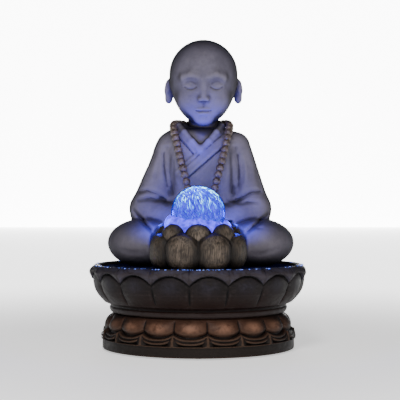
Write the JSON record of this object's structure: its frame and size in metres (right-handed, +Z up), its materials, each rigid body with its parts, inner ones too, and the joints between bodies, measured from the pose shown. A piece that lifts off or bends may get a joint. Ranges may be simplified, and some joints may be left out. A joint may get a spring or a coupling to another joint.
{
  "type": "tabletop water fountain",
  "caption": "Round petalled basin on a petalled pedestal, with a seated robed figure and a lotus bowl holding a lit glass ball over a hidden pump.",
  "frame": {"origin": "centre of the footprint, on the surface the feet stand on", "axes": "+Z up, the front (lotus bowl side) faces -Y, +X to the viewer's right"},
  "size_m": [0.209, 0.209, 0.2991],
  "materials": {
    "pedestal_resin": "satin",
    "basin_resin": "satin",
    "deck_resin": "satin",
    "lotus_resin": "satin",
    "robe_resin": "matte",
    "head_resin": "matte",
    "black_plastic": "matte",
    "slider_plastic": "matte",
    "white_plastic": "gloss",
    "black_rubber": "matte",
    "screw_steel": "satin",
    "core_steel": "satin",
    "coil_copper": "satin",
    "potting_epoxy": "gloss",
    "ferrite": "matte",
    "shaft_ceramic": "gloss",
    "clear_acrylic": "gloss",
    "clear_tube": "gloss",
    "clear_silicone": "satin",
    "crackle_glass": "gloss",
    "board_laminate": "satin",
    "blue_light": "gloss",
    "lead_jacket": "satin",
    "bead_wood": "satin",
    "bead_cord": "matte"
  },
  "bodies": {
    "base": {"base_pedestal": "pedestal_resin", "bottom_cover": "black_plastic", "rubber_feet": "black_rubber", "bottom_screws": "screw_steel", "basin": "basin_resin", "basin_screws": "screw_steel", "sealing_washers": "black_rubber", "pump_housing": "black_plastic", "pump_back_cover": "black_plastic", "stator_core": "core_steel", "stator_coil": "coil_copper", "pump_potting": "potting_epoxy", "pump_shaft": "shaft_ceramic", "shaft_bushes": "black_rubber", "volute_cover": "black_plastic", "pump_seal_ring": "black_rubber", "intake_grille": "black_plastic", "suction_cups": "black_rubber", "riser_tube": "clear_tube", "jet_nozzle": "white_plastic", "light_housing": "black_plastic", "light_board": "board_laminate", "light_chips": "blue_light", "light_lens": "clear_acrylic", "cable_gland": "black_plastic", "gland_nut": "black_plastic", "power_socket": "black_plastic", "socket_nut": "screw_steel", "pump_lead": "lead_jacket", "light_lead": "lead_jacket", "feed_lead": "lead_jacket"},
    "deck": {"deck_plate": "deck_resin", "bowl_screws": "screw_steel", "figure_screws": "screw_steel", "lotus_bowl": "lotus_resin", "ball_cup": "clear_acrylic", "ball_seat_ring": "clear_silicone", "figure_robe": "robe_resin", "figure_head": "head_resin", "mala_beads": "bead_wood", "mala_cord": "bead_cord"},
    "ball": {"crystal_ball": "crackle_glass"},
    "rotor": {"rotor_magnet": "ferrite", "impeller": "white_plastic"},
    "slider": {"flow_slider": "slider_plastic"}
  },
  "joints": [
    {"name": "deck_lift", "type": "slide", "parent": "base", "child": "deck", "axis": [0, 0, 1], "range_m": [0, 0.09]},
    {"name": "ball_spin", "type": "hinge", "parent": "deck", "child": "ball", "pos_m": [0, -0.046, 0.13], "axis": [1, 0, 0], "continuous": true},
    {"name": "impeller_spin", "type": "hinge", "parent": "base", "child": "rotor", "pos_m": [0, -0.03, 0.058], "axis": [0, 1, 0], "continuous": true},
    {"name": "flow_slide", "type": "slide", "parent": "base", "child": "slider", "axis": [1, 0, 0], "range_m": [0, 0.007]}
  ]
}
